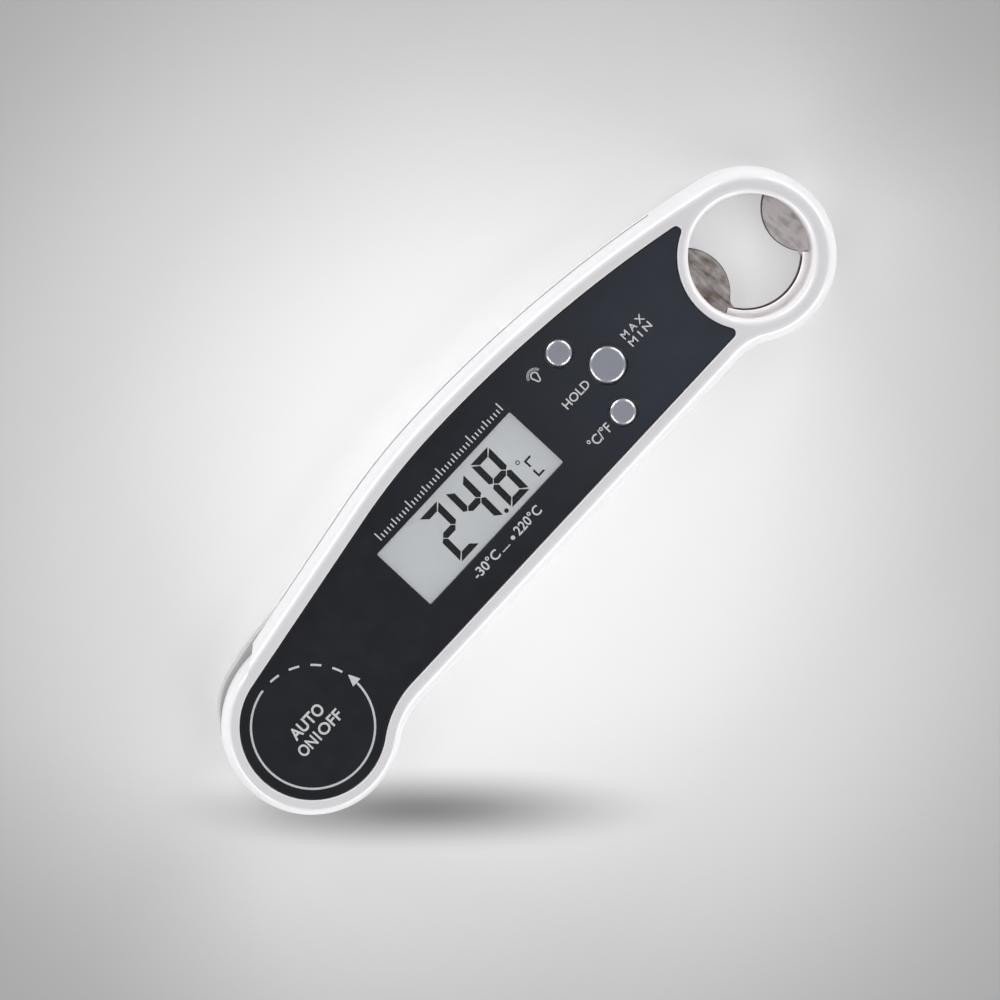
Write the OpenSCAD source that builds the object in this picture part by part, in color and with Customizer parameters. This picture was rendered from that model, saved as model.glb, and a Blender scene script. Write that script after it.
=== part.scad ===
// Folding meat thermometer with a bottle-opener ring, lying on its back.
// +X runs from the pivot hub to the ring, +Y to the crowned edge where the
// probe is stowed, +Z out of the display face. The origin is the bottom centre.
// Outlines and parts are drawn about the pivot axis; on_body() moves them.

/* [Body] */
// Overall length
body_l = 160; // [158:1:163]
// Overall width, from the round ends' low side to the crown
body_w = 43.7; // [43.5:0.1:44.1]
// Overall thickness
body_t = 18; // [18:0.5:19]
// Radius of the pivot hub
hub_r = 17.6; // [17.4:0.1:17.8]
// Outer radius of the ring
ring_r = 17.2; // [17:0.1:17.6]
// Crown's distance along the body from the pivot axis
crown_x = 57.9; // [57:0.1:59]
// Slope of the straight edge beside the hub, in degrees
top_slope = 9.1; // [8.9:0.1:9.3]
// Distance of that straight edge from the pivot axis
top_r = 18.4; // [18.3:0.1:18.5]
// Depth of the straight low edge below the pivot axis
low_y = 12.4; // [12:0.1:12.8]
// Radius of the blend between the hub and the low edge
hub_blend_r = 16; // [14:0.5:18]
// Radius of the blend between the ring and the low edge
ring_blend_r = 10; // [8:0.5:12]
// Width of the rim around the panel
rim_w = 4.1; // [3.9:0.1:4.3]
// Edge relief of the shells
edge = 1.1; // [0.8:0.1:1.3]

/* [Panel and display] */
// Radius of the raised bead around the ring's hole
bead_r = 14.5; // [14.3:0.1:14.8]
// Corner radius of the panel beside the ring
panel_corner_r = 1; // [0.6:0.1:1.4]
// Display window's width
window_w = 37.9; // [36:0.1:38.4]
// Display window's height
window_h = 14.4; // [13:0.1:15]
// Display centre's distance from the pivot axis
window_x = 52; // [51.5:0.05:52.8]
// Display centre's height above the pivot axis
window_y = 6.65; // [6.4:0.05:6.9]

/* [Buttons] */
// Radius of the large hold button
hold_r = 3.55; // [3.3:0.05:3.7]
// Radius of the small light and unit buttons
small_r = 2.55; // [2.3:0.05:2.7]
// Travel of each button
press = 0.4; // [0.3:0.05:0.4]

/* [Probe] */
// Radius of the probe tube
rod_r = 2; // [1.8:0.05:2]
// Radius of the probe's fast-reading tip
tip_r = 1.15; // [1:0.05:1.3]
// Stowed probe axis above the pivot axis
rod_y = 17; // [16.9:0.05:17.1]
// Stowed point's distance from the pivot axis
rod_end = 116.8; // [112:0.2:116.8]

/* [Ring] */
// Radius of the hole through the ring
hole_r = 12.3; // [12.1:0.05:12.4]
// Radius of the opener plate's cut-out
cut_r = 10.8; // [10.5:0.05:11]

/* [Battery] */
// Radius of the coin cell
cell_r = 10; // [9.8:0.1:10]
// Height of the coin cell
cell_h = 3.2; // [2.5:0.1:3.2]

/* [Hidden] */
$fn = 64;
far = 60;             // longer than any part is deep, for through cuts
fit = 0.1;            // gap between pieces that are fitted together
pivot = [hub_r - body_l / 2, hub_r - body_w / 2];
ring_c = [body_l - hub_r - ring_r, 0];
// Top edge: a straight, then two arcs that meet at the crown
crown = [crown_x, body_w - hub_r];
top_n = [-sin(top_slope), cos(top_slope)];
top_t = [cos(top_slope), sin(top_slope)];
near_r = (top_r - crown * top_n) / (1 - top_n.y);
from_ring = crown - ring_c;
far_r = (from_ring * from_ring - pow(ring_r, 2)) / (2 * (from_ring.y - ring_r));
near_c = crown - [0, near_r];
far_c = crown - [0, far_r];
ring_blend_y = -low_y - ring_blend_r;
ring_blend_c = ring_c + [-sqrt(pow(ring_r + ring_blend_r, 2) - pow(ring_blend_y, 2)), ring_blend_y];
step_s = 4.4;         // where the hub's rim steps out to the body's
// Heights
wall = 1.6;
part_z = body_t / 2;  // parting plane of the two shells
slot_h = 5;           // gap between the shells that the probe folds into
slot_z0 = part_z - slot_h / 2;
slot_z1 = part_z + slot_h / 2;
panel_z = body_t - 0.6;
panel_t = 0.8;
deck_z = panel_z - panel_t;
deck_t = 1;
under_deck = deck_z - deck_t;
board_z = slot_z1 + 0.95;
board_t = 1;
board_top = board_z + board_t;
// Inner walls
slot_r = hub_r + 1.1;         // room for the turning arm's root
chamber_r = slot_r + 1.5;
channel_y = rod_y - rod_r - 0.2;
channel_end = rod_end + 0.7;
chamber_x0 = 17;
chamber_x1 = 110;
chamber_y0 = -low_y + 2;
chamber_y1 = channel_y - 1.3;
chamber_ring_r = ring_r - 0.6;
hub_hollow_r = hub_r - 1.7;
boss_r = 5.2;
// Probe arm
arm_t = 4.4;
arm_z = part_z - arm_t / 2;
disc_r = hub_r - 0.4;
arm_end = 26;
rod_start = 12;
rod_wall = 0.4;
cone_x = rod_end - 17;        // where the tube narrows to the tip
tip_x = cone_x + 3;
// Pivot
shoulder_r = 2.5;
run_gap = 0.05;
bush_r = 3.3;
head_r = 4;
head_z = 0.5;
head_t = 1.9;
screw_top = under_deck - 0.8;
// Display stack
window_c = [window_x, window_y];
lcd = [40, 17, 1.7];
lcd_z = deck_z - 0.2 - lcd.z;
light_panel = [38, 13, 1.1];
// Buttons: place and radius
light_at = [85.9, 14.7];
hold_at = [90.75, 6.15];
unit_at = [86.1, -2.35];
button_gap = 0.25;
button_top = body_t - 0.1;
flange_z = under_deck - 0.6;
base_top = flange_z - press - 0.1;
// Opener
steel_t = 0.7;
plate_z = 5.2;
plate_t = 1.8;
plate_r = 15;
lip_z = body_t - 2.4;         // where the shell's lip covers the steel wall
left_lobe = [-13.7, 3.6, 8.8];
right_lobe = [14.3, -1.9, 8.6];
// Battery bay and back
cell_c = [64, 2.4];
cell_z = 3.6;
door_r = 12;
door_t = 1.2;
door_z = 0.15;
plug_r = cell_r + 0.7;
plug_top = 3.3;
door_gap = 0.2;
seat_z = door_z + door_t + 0.05;
seat_top = 2.7;
lug_r = 11.7;
// Seals
seal_r = 0.5;
seal_groove = 0.95;
seal_z = seat_z + 0.55;
hub_seal_r = 6.5;
// Back
magnet_r = 5;
magnet_t = 2;
magnets = [[35, 3.5], [95, 3.5]];
screws = [[25, -5.5], [25, 8.5], [105, -6], [103, 9]];
screw_post_r = 2.2;
screw_head_r = 1.9;
screw_r = 0.85;

// Points along an arc from angle a0 to a1 in n steps
function arc(c, r, a0, a1, n) =
    [for (i = [0:n]) let(a = a0 + (a1 - a0) * i / n) c + r * [cos(a), sin(a)]];
// Direction from point a to point b, in degrees
function bearing(a, b) = atan2(b.y - a.y, b.x - a.x);
// Left-hand meeting point of two circles, seen from a to b
function meet(a, ra, b, rb) = let(
    d = norm(b - a),
    u = (b - a) / d,
    m = (d * d + ra * ra - rb * rb) / (2 * d))
    a + m * u + sqrt(ra * ra - m * m) * [-u.y, u.x];
// Centre of the blend beside the hub, for hub radius rh and inset d
function hub_blend(rh, d) = let(y = -low_y - hub_blend_r)
    [sqrt(pow(rh + hub_blend_r + d, 2) - y * y), y];
// The top edge's arcs and the hub, from angle a0 on the far arc
function top_and_hub(d, rh, a0, s) = let(
    b = hub_blend(rh, d),
    start = 90 + top_slope - atan2(s, top_r - d))
    concat(
        arc(far_c, far_r - d, a0, 90, 10),
        arc(near_c, near_r - d, 90, 90 + top_slope, 6),
        s > 0 ? [(top_r - d) * top_n + s * top_t] : [],
        arc([0, 0], rh, start, bearing([0, 0], b) + 360, 40),
        arc(b, hub_blend_r + d, bearing(b, [0, 0]), 90, 8));
// Whole outline, inset by d, with its own hub radius and step
function outline(d, rh, s) = concat(
    arc(ring_blend_c, ring_blend_r + d, 90, bearing(ring_blend_c, ring_c), 6),
    arc(ring_c, ring_r - d, bearing(ring_c, ring_blend_c), bearing(far_c, ring_c), 40),
    top_and_hub(d, rh, bearing(far_c, ring_c), s));
// Panel outline, g inside the rim's inner edge
function panel_outline(g) = let(
    d = rim_w + g,
    rc = panel_corner_r - g,
    bead = bead_r + g,
    low = [-sqrt(pow(bead + rc, 2) - pow(rc + d - low_y, 2)), rc + d - low_y] + ring_c,
    high = meet(far_c, far_r - d - rc, ring_c, bead + rc))
    concat(
        arc(low, rc, -90, bearing(low, ring_c), 6),
        arc(ring_c, bead, bearing(ring_c, low) + 360, bearing(ring_c, high), 16),
        arc(high, rc, bearing(high, ring_c), bearing(far_c, high), 8),
        top_and_hub(d, top_r - d, bearing(far_c, high), 0));

module on_body() translate([pivot.x, pivot.y, 0]) children();
module up(z) translate([0, 0, z]) children();
module at(p, z = 0) translate([p.x, p.y, z]) children();
module plate(z0, z1) up(z0) linear_extrude(z1 - z0) children();
module rod(r, z0, z1) up(z0) cylinder(r = r, h = z1 - z0);
module tube(r_out, r_in, z0, z1) difference() {
    rod(r_out, z0, z1);
    rod(r_in, z0 - 1, z1 + 1);
}
module slab(size, z0) up(z0 + size.z / 2) cube(size, center = true);
module torus(r, section_r, z) up(z) rotate_extrude() translate([r, 0]) circle(section_r);

// Room inside the shells, grown by e: beside the channel, and above or below it
module chamber_ends(e) {
    circle(chamber_r - e);
    translate(ring_c) circle(chamber_ring_r - e);
}
module chamber(e = 0) difference() {
    translate([chamber_x0, chamber_y0 - e]) square([chamber_x1 + e - chamber_x0, chamber_y1 - chamber_y0 + 2 * e]);
    chamber_ends(e);
}
module wide_chamber(e = 0) difference() {
    polygon(outline(2.2 - e, hub_r, 0.1));
    translate([chamber_x0 - far, -far]) square([far, 2 * far]);
    translate([chamber_x1 + e, -far]) square([far, 2 * far]);
    chamber_ends(e);
}
// Slot that the arm and the tube fold into, between heights z0 and z1
module probe_slot(z0, z1) {
    rod(slot_r, z0, z1);
    translate([0, channel_y, z0]) cube([channel_end, far, z1 - z0]);
}
module at_screws() for (p = screws) at(p) children();
module at_magnets() for (p = magnets) at(p) children();

module front_shell() color("white") on_body() difference() {
    union() {
        difference() {
            union() {
                plate(part_z, body_t - edge) polygon(outline(0, hub_r, step_s));
                plate(part_z, body_t) polygon(outline(edge, hub_r - edge, step_s));
            }
            plate(part_z - 1, board_z) chamber();
            plate(board_z - 0.1, under_deck) wide_chamber();
            probe_slot(part_z - 1, slot_z1);
            rod(hub_hollow_r, slot_z1 - 1, under_deck);
            translate([hub_hollow_r - 2, -2.5, board_z]) cube([chamber_r - hub_hollow_r + 3, 5, under_deck - board_z]);
            plate(deck_z, body_t + 1) polygon(panel_outline(0));
        }
        rod(boss_r, slot_z1, under_deck + 0.1);
        at(ring_c) tube(plate_r - fit, hole_r + steel_t, plate_z + plate_t, part_z + 0.1);
        at_screws() rod(screw_post_r, part_z, under_deck + 0.1);
    }
    at(ring_c) rod(hole_r, 0, far);
    at(ring_c) rod(hole_r + steel_t + fit / 2, 0, lip_z);
    at(ring_c, lip_z + 1) cylinder(r1 = hole_r, r2 = bead_r, h = body_t - lip_z - 0.99);
    rod(1.4, slot_z1 - 1, screw_top + 0.2);
    at(window_c) slab([lcd.x + 0.4, lcd.y + 0.4, 3], deck_z - 2);
    at(light_at) rod(small_r + button_gap, deck_z - 2, far);
    at(hold_at) rod(hold_r + button_gap, deck_z - 2, far);
    at(unit_at) rod(small_r + button_gap, deck_z - 2, far);
    at_screws() rod(screw_r - 0.1, part_z - 1, under_deck - 0.9);
}

module rear_shell() color("whitesmoke") on_body() difference() {
    union() {
        difference() {
            union() {
                plate(edge, part_z) polygon(outline(0, hub_r, step_s));
                plate(0, part_z) polygon(outline(edge, hub_r - edge, step_s));
            }
            plate(slot_z0 - 1.2, part_z + 1) chamber();
            plate(wall, slot_z0 - 1.1) wide_chamber();
            probe_slot(slot_z0, part_z + 1);
            rod(hub_hollow_r, wall, slot_z0 + 1);
        }
        rod(boss_r, wall - 0.1, slot_z0);
        at(cell_c) rod(door_r + 1.2, 0, seat_top);
        at_magnets() rod(magnet_r + 1, wall - 0.1, magnet_t + 1.2);
        at_screws() rod(screw_post_r + 0.7, wall - 0.1, part_z);
    }
    plate(part_z - 0.9, part_z + 1) difference() {
        chamber(0.8);
        chamber(0.2);
    }
    at(ring_c) rod(hole_r + 0.2, -1, far);
    at(ring_c) rod(plate_r + fit / 2, plate_z, far);
    at(ring_c, -0.01) cylinder(r1 = bead_r - 0.5, r2 = hole_r + 0.2, h = 1.4);
    rod(head_r + 0.2, -1, head_z + head_t + 0.4);
    rod(shoulder_r + run_gap, -1, far);
    at(cell_c) {
        rod(door_r + door_gap, -1, seat_z);
        rod(plug_r + door_gap, -1, 5);
        for (a = [0, 180]) rotate(a) lug(seat_top + 1, lug_r + 0.2, 4, 60);
    }
    at_magnets() rod(magnet_r + fit, -1, 0.2 + magnet_t);
    at_screws() {
        rod(screw_head_r + 0.2, -1, 1.9);
        rod(screw_r + 0.2, -1, far);
    }
}

// One bayonet lug, or the slot it passes, as a wedge turned to angle a
module lug(z1, r, h, a) rotate(a) intersection() {
    up(z1 - h) linear_extrude(h) polygon([[0, 0], [2 * r, -0.24 * r], [2 * r, 0.24 * r]]);
    rod(r, z1 - h - 1, z1 + 1);
}

module face_panel() color("#24252b") on_body() difference() {
    plate(deck_z, panel_z) polygon(panel_outline(fit));
    at(window_c) slab([window_w, window_h, 3], deck_z - 1);
    at(light_at) rod(small_r + button_gap, 0, far);
    at(hold_at) rod(hold_r + button_gap, 0, far);
    at(unit_at) rod(small_r + button_gap, 0, far);
}

module display_window() color("#c8ccd2") on_body() at(window_c)
    slab([window_w - fit, window_h - fit, panel_t], deck_z);

module lcd_glass() color("#aab0b4") on_body() at(window_c)
    slab(lcd, lcd_z);

module lcd_holder() color("white") on_body() at(window_c) difference() {
    slab([lcd.x + 3.6, lcd.y + 3, under_deck - board_top], board_top);
    slab([lcd.x + 0.2, lcd.y + 0.2, far], 0);
}

module backlight_panel() color("#e8eef2") on_body() at(window_c)
    slab(light_panel, board_top + 0.05);

module backlight_led() color("ivory") on_body() at(window_c)
    translate([light_panel.x / 2 + 0.5, 0, 0]) slab([0.8, 2.4, 0.9], board_top);

module zebra_strips() color("#3a3a3c") on_body() at(window_c) for (side = [-1, 1])
    translate([0, side * (lcd.y / 2 - 0.9), 0]) slab([light_panel.x, 1.4, lcd_z - board_top], board_top);

module main_board() color("#1f5c3a") on_body() difference() {
    plate(board_z, board_top) difference() {
        wide_chamber(-0.5);
        translate([0, channel_y + 6]) square([20, far]);
    }
    at_screws() rod(screw_post_r + 0.3, 0, far);
}

module board_parts() color("#2b2b2e") on_body() {
    translate([92, 2, 0]) slab([8, 8, 1.3], board_z - 1.3);
    translate([83, 8, 0]) slab([2.5, 1.4, 1.1], board_z - 1.1);
    translate([83, 5, 0]) slab([2.5, 1.4, 1.1], board_z - 1.1);
    translate([83, -4, 0]) slab([2, 1.2, 0.9], board_z - 0.9);
    translate([39, 9, 0]) slab([6, 2.4, 1.8], board_z - 1.8);
    translate([32, -4, 0]) slab([3.2, 2.6, 1.1], board_z - 1.1);
}

module reed_switch() color("#b9d8c0") on_body() translate([30.5, 0, board_z - 1.1])
    rotate([-90, 0, 0]) rod(1, -2, 7);

module at_buttons() {
    at(light_at) children();
    at(hold_at) children();
    at(unit_at) children();
}
module switch_bases() color("#333336") on_body() at_buttons() difference() {
    slab([4.6, 4.6, base_top - board_top], board_top);
    rod(1, board_top + 0.2, far);
}
module button_cap(r) {
    rod(r, flange_z, button_top - 0.5);
    up(button_top - 0.5) cylinder(r1 = r, r2 = r - 0.45, h = 0.5);
    rod(r + 0.6, flange_z, under_deck - 0.05);
}
module plunger() rod(0.9, base_top - 0.3, flange_z);
module light_button() color("#8b8e99") on_body() at(light_at) button_cap(small_r);
module hold_button() color("#8b8e99") on_body() at(hold_at) button_cap(hold_r);
module unit_button() color("#8b8e99") on_body() at(unit_at) button_cap(small_r);
module light_plunger() color("ivory") on_body() at(light_at) plunger();
module hold_plunger() color("ivory") on_body() at(hold_at) plunger();
module unit_plunger() color("ivory") on_body() at(unit_at) plunger();

// Opener: a clamped flange and a drawn wall, with two lobes that take the cap
module opener_plate() color("#9a9490") on_body() at(ring_c) {
    plate(plate_z, plate_z + plate_t) difference() {
        circle(plate_r - fit);
        difference() {
            union() {
                circle(cut_r);
                intersection() {
                    circle(hole_r);
                    polygon([[-16, 3], [16, -2], [16, 16], [-16, 16]]);
                }
            }
            translate([left_lobe.x, left_lobe.y]) circle(left_lobe.z);
            translate([right_lobe.x, right_lobe.y]) circle(right_lobe.z);
        }
    }
    tube(hole_r + steel_t - fit / 2, hole_r, plate_z + plate_t - 0.1, lip_z - 0.05);
}

// Probe: moulded arm, drawn tube, and what they hold
module probe_arm() color("gainsboro") on_body() difference() {
    union() {
        rod(disc_r, arm_z, arm_z + arm_t);
        plate(arm_z, arm_z + arm_t) polygon([
            [0, 0],
            [sqrt(pow(disc_r, 2) - pow(channel_y + 0.2, 2)), channel_y + 0.2],
            [arm_end, channel_y + 0.2],
            [arm_end, rod_y + rod_r + 0.7],
            [arm_end - 3, rod_y + rod_r + 1.6],
            (top_r - 0.2) * top_n + 13 * top_t,
            (top_r - 0.2) * top_n + 1 * top_t,
            disc_r * top_n - 4 * top_t]);
    }
    rod(bush_r + 0.02, 0, far);
    translate([rod_start, rod_y, part_z]) rotate([0, 90, 0]) rod(rod_r + 0.02, 0, far);
    at([11, 9]) rod(1.55, part_z - 1.6, far);
    for (z = [arm_z, arm_z + arm_t]) tube(hub_seal_r + 0.55, hub_seal_r - 0.55, z - 0.8, z + 0.8);
    lead_path(0.7);
}
// The lead's way from the tube's mouth to beside the bush
module lead_path(r) {
    translate([rod_start + 0.1, rod_y, part_z]) rotate([0, -90, 0]) rod(r, 0, 4);
    translate([8.1, rod_y, part_z]) rotate([90, 0, 0]) rod(r, 0, rod_y);
    at([8.1, 0]) rod(r, part_z - r, arm_z + arm_t + 0.2);
}
module probe_rod() color("#c9cbcd") on_body() translate([0, rod_y, part_z]) rotate([0, 90, 0])
    rotate_extrude() polygon([
        [rod_r - rod_wall, rod_start], [rod_r, rod_start], [rod_r, cone_x], [tip_r, tip_x],
        [tip_r, rod_end - 3], [0, rod_end], [0, rod_end - 4], [tip_r - 0.3, rod_end - 4.5],
        [tip_r - 0.3, tip_x], [rod_r - rod_wall, cone_x - 1]]);
module sensor_bead() color("#4a2f22") on_body() translate([0, rod_y, part_z]) rotate([0, 90, 0])
    rod(tip_r - 0.4, rod_end - 8, rod_end - 4.6);
module probe_lead() color("#b23b32") on_body() {
    translate([0, rod_y, part_z]) rotate([0, 90, 0]) rod(0.5, 8.1, rod_end - 8);
    translate([8.1, rod_y, part_z]) rotate([90, 0, 0]) rod(0.5, 0, rod_y);
    at([8.1, 0]) rod(0.5, part_z, arm_z + arm_t);
}
module switch_magnet() color("#8d8f92") on_body() at([11, 9]) rod(1.5, part_z - 1.5, part_z + 1.5);
module hub_seals() color("#202020") on_body() for (side = [-1, 1])
    torus(hub_seal_r, seal_r, part_z + side * (arm_t / 2 - 0.25));
module pivot_bush() color("#b5893f") on_body() tube(bush_r, shoulder_r + run_gap, arm_z, arm_z + arm_t);

// Pivot screw from the back, its spring washer and the two slip washers
module pivot_screw() color("#b8babd") on_body() difference() {
    union() {
        rod(head_r, head_z, head_z + head_t);
        rod(shoulder_r, head_z, slot_z1);
        rod(1.35, head_z, screw_top);
    }
    for (a = [0, 90]) rotate(a) slab([4, 0.9, 1.2], head_z - 0.1);
}
module spring_washer() color("#9da0a3") on_body()
    tube(head_r - 0.1, shoulder_r + run_gap, head_z + head_t, head_z + head_t + 0.4);
module pivot_washers() color("#d8d4c8") on_body() for (z = [slot_z0, slot_z1 - 0.26])
    tube(boss_r - 0.2, shoulder_r + run_gap, z, z + 0.26);
module body_lead() color("#b23b32") on_body() {
    translate([7.4, 0, board_top + 0.6]) rotate([0, 90, 0]) rod(0.5, 0, 16.6);
    at([8.1, 0]) rod(0.45, slot_z1 + 0.1, board_top + 0.6);
    at([23, 0]) rod(0.4, board_top, board_top + 0.6);
}

// Power
module coin_cell() color("silver") on_body() at(cell_c) {
    rod(cell_r, cell_z, cell_z + cell_h - 0.6);
    rod(cell_r - 1.2, cell_z, cell_z + cell_h);
}
module battery_holder() color("#3a3b40") on_body() at(cell_c) difference() {
    rod(cell_r + 0.9, cell_z + 0.1, cell_z + cell_h + 2);
    rod(cell_r + 0.2, 0, cell_z + cell_h + 0.8);
    slab([9, 5, 20], 0);
    at([cell_r, 0]) slab([2.6, 4.6, 20], cell_z - 2);
}
module positive_contact() color("#c9b46a") on_body() at(cell_c + [cell_r + 0.3, 0])
    slab([0.3, 4, board_z - cell_z - 0.3], cell_z + 0.3);
module negative_contact() color("#c9b46a") on_body() at(cell_c) {
    slab([8, 4, 0.3], cell_z + cell_h);
    at([-3.5, 0]) slab([0.4, 3, board_z - cell_z - cell_h], cell_z + cell_h);
}
module battery_door() color("whitesmoke") on_body() at(cell_c) difference() {
    union() {
        rod(door_r, door_z, door_z + door_t);
        rod(plug_r, door_z, plug_top);
        for (a = [0, 180]) rotate(a) lug(plug_top, lug_r, plug_top - seat_top - 0.1, 0);
    }
    slab([16, 1.8, 1], door_z - 0.2);
    tube(plug_r + 1, plug_r - seal_groove, seal_z - 0.55, seal_z + 0.55);
    rod(plug_r - 2.2, door_z + door_t + 0.3, far);
}
module door_seal() color("#202020") on_body() at(cell_c) torus(plug_r - 0.4, seal_r, seal_z);

// Seal between the shells, magnets in the back, and the case screws
module case_gasket() color("#5b5f66") on_body() plate(part_z - 0.85, part_z) difference() {
    chamber(0.75);
    chamber(0.25);
    at_screws() circle(screw_post_r + 0.8);
}
module back_magnets() color("#9a9ca0") on_body() at_magnets() rod(magnet_r, 0.2, 0.2 + magnet_t);
module case_screws() color("#b8babd") on_body() at_screws() difference() {
    union() {
        rod(screw_head_r, 0.6, 1.9);
        rod(screw_r, 0.6, under_deck - 1);
    }
    for (a = [0, 90]) rotate(a) slab([2.2, 0.5, 0.9], 0.5);
}

front_shell();
rear_shell();
face_panel();
display_window();
lcd_glass();
lcd_holder();
backlight_panel();
backlight_led();
zebra_strips();
main_board();
board_parts();
reed_switch();
switch_bases();
light_button();
hold_button();
unit_button();
light_plunger();
hold_plunger();
unit_plunger();
opener_plate();
probe_arm();
probe_rod();
sensor_bead();
probe_lead();
switch_magnet();
pivot_bush();
hub_seals();
pivot_screw();
spring_washer();
pivot_washers();
body_lead();
coin_cell();
battery_holder();
positive_contact();
negative_contact();
battery_door();
door_seal();
case_gasket();
back_magnets();
case_screws();
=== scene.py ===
"""Folding meat thermometer with a bottle-opener ring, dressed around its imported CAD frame.

Shapes are drawn in millimetres about the pivot axis, +X towards the ring, +Z out of the
display, and moved to the frame's metres when a mesh is made. Plan points are complex numbers.
"""

import cmath
import math

import bmesh
import bpy
from mathutils import Matrix, Vector
from mathutils.geometry import delaunay_2d_cdt


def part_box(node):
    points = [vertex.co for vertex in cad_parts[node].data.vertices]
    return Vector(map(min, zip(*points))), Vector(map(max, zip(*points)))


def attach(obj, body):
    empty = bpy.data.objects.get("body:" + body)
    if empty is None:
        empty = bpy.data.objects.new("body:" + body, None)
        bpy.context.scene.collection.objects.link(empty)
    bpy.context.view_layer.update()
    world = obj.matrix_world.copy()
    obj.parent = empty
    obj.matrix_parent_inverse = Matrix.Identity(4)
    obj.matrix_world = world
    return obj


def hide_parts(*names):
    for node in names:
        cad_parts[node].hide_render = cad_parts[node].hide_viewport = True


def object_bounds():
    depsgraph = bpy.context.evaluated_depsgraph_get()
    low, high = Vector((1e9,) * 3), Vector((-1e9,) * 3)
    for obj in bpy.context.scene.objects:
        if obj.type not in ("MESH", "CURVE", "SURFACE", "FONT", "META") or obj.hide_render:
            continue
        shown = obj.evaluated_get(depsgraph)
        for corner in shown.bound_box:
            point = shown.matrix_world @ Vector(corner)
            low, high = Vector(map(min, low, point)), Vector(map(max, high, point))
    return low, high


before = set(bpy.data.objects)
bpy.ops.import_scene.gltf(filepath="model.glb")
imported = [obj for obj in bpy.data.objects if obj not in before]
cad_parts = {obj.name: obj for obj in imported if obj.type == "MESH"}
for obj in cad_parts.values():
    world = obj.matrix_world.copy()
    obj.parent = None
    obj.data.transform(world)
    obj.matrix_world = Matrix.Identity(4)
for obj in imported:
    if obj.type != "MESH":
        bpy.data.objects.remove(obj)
CAD_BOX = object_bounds()
MM = 0.001


# ---------------------------------------------------------------- places read from the frame
def centre(node):
    """Middle of a CAD node's box, in the frame's metres."""
    lo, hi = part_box(node)
    return (lo + hi) / 2


PIVOT = centre("pivot_bush")


def from_pivot(node):
    """Plan place of a CAD node's middle, in millimetres about the pivot."""
    c = (centre(node) - PIVOT) / MM
    return complex(round(c.x, 3), round(c.y, 3))


def half_width(node):
    """Radius in millimetres of a round CAD node that stands upright."""
    low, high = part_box(node)
    return (high[0] - low[0]) / 2 / MM


def height(node, side):
    """Lowest (side 0) or highest (side 1) level of a CAD node, in millimetres."""
    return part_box(node)[side].z / MM


RING = from_pivot("opener_plate")
WINDOW = from_pivot("display_window")
LIGHT = from_pivot("light_button")
HOLD = from_pivot("hold_button")
UNIT = from_pivot("unit_button")
CELL = from_pivot("battery_door")

# ---------------------------------------------------------------- sizes, in millimetres
BODY_TOP = height("front_shell", 1)
SEAM = height("front_shell", 0)
HUB_R = 17.6
RING_R = 17.2
TOP_R = 18.4  # the top edge's distance from the pivot where it meets the hub
TOP_SLOPE = 9.1  # its slope there, in degrees
LOW_Y = 12.4  # the straight lower edge lies this far below the pivot
HUB_BLEND_R = 16
RING_BLEND_R = 10
CROWN = complex(57.9, 26.1)  # highest point of the top edge
RIM_W = 4.1  # white rim around the panel
RIM_ROUND = 2.6  # part of the rim that is rounded over
HUB_SHARE = 0.69  # the hub's rim is narrower, so its rounding is too
STEP_S = 6.7  # how far along the top edge the step beside the hub stands
BEAD_R = 14.5  # the panel's edge around the ring
PANEL_CORNER_R = 1
HOLE_R = 12.3  # the hole in the shell's lip over the opener
STEEL_R = 13  # the shell's bore around the opener
LIP_Z = 15.6
DECK_Z = height("face_panel", 0)
PANEL_Z = height("face_panel", 1)
SLOT_LOW = 6.5
SLOT_HIGH = 11.5
ROD_Y = 17
PLATE_Z = height("opener_plate", 0)
LEDGE_Z = PLATE_Z + 1.8
MOUTH_R = 10.8  # the opening inside the steel ledge
# Each lobe of the opener: centre from the ring's, radius, and the fillet at its lower end
LEFT_LOBE = (-13.7 + 3.4j, 8.8, 1.8)
RIGHT_LOBE = (14.3 - 2.3j, 8.5, 1.2)
WINDOW_SIZE = (37.9, 14.4)
SMALL_R = 2.55
LARGE_R = 3.55
BUTTON_GAP = 0.42
KEYS = ((LIGHT, SMALL_R), (HOLD, LARGE_R), (UNIT, SMALL_R))


# ---------------------------------------------------------------- plan outlines
def turn(a):
    """Unit step in the direction of a degrees."""
    return cmath.rect(1, math.radians(a))


def arc(c, r, a0, a1, n, closed=0):
    """Points along an arc; the last one is left out unless closed is 1."""
    return [c + r * turn(a0 + (a1 - a0) * i / n) for i in range(n + closed)]


def circle(c, r, n=96):
    """Points around a full circle."""
    return arc(c, r, 0, 360, n)


def bearing(a, b):
    """Direction from a to b in degrees."""
    return math.degrees(cmath.phase(b - a))


def dot(a, b):
    """Dot product of two plan vectors."""
    return a.real * b.real + a.imag * b.imag


def meet(a, ra, b, rb):
    """Left-hand meeting point of two circles, seen from a to b."""
    d = abs(b - a)
    u = (b - a) / d
    m = (d * d + ra * ra - rb * rb) / (2 * d)
    return a + (m + 1j * math.sqrt(ra * ra - m * m)) * u


TOP_N = turn(90 + TOP_SLOPE)
TOP_T = turn(TOP_SLOPE)
NEAR_R = (TOP_R - dot(CROWN, TOP_N)) / (1 - TOP_N.imag)
FAR_R = (abs(CROWN - RING) ** 2 - RING_R**2) / (2 * ((CROWN - RING).imag - RING_R))
NEAR_C = CROWN - 1j * NEAR_R
FAR_C = CROWN - 1j * FAR_R
RING_BLEND_Y = -LOW_Y - RING_BLEND_R
RING_BLEND_C = RING + complex(-math.sqrt((RING_R + RING_BLEND_R) ** 2 - RING_BLEND_Y**2), RING_BLEND_Y)


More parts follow.
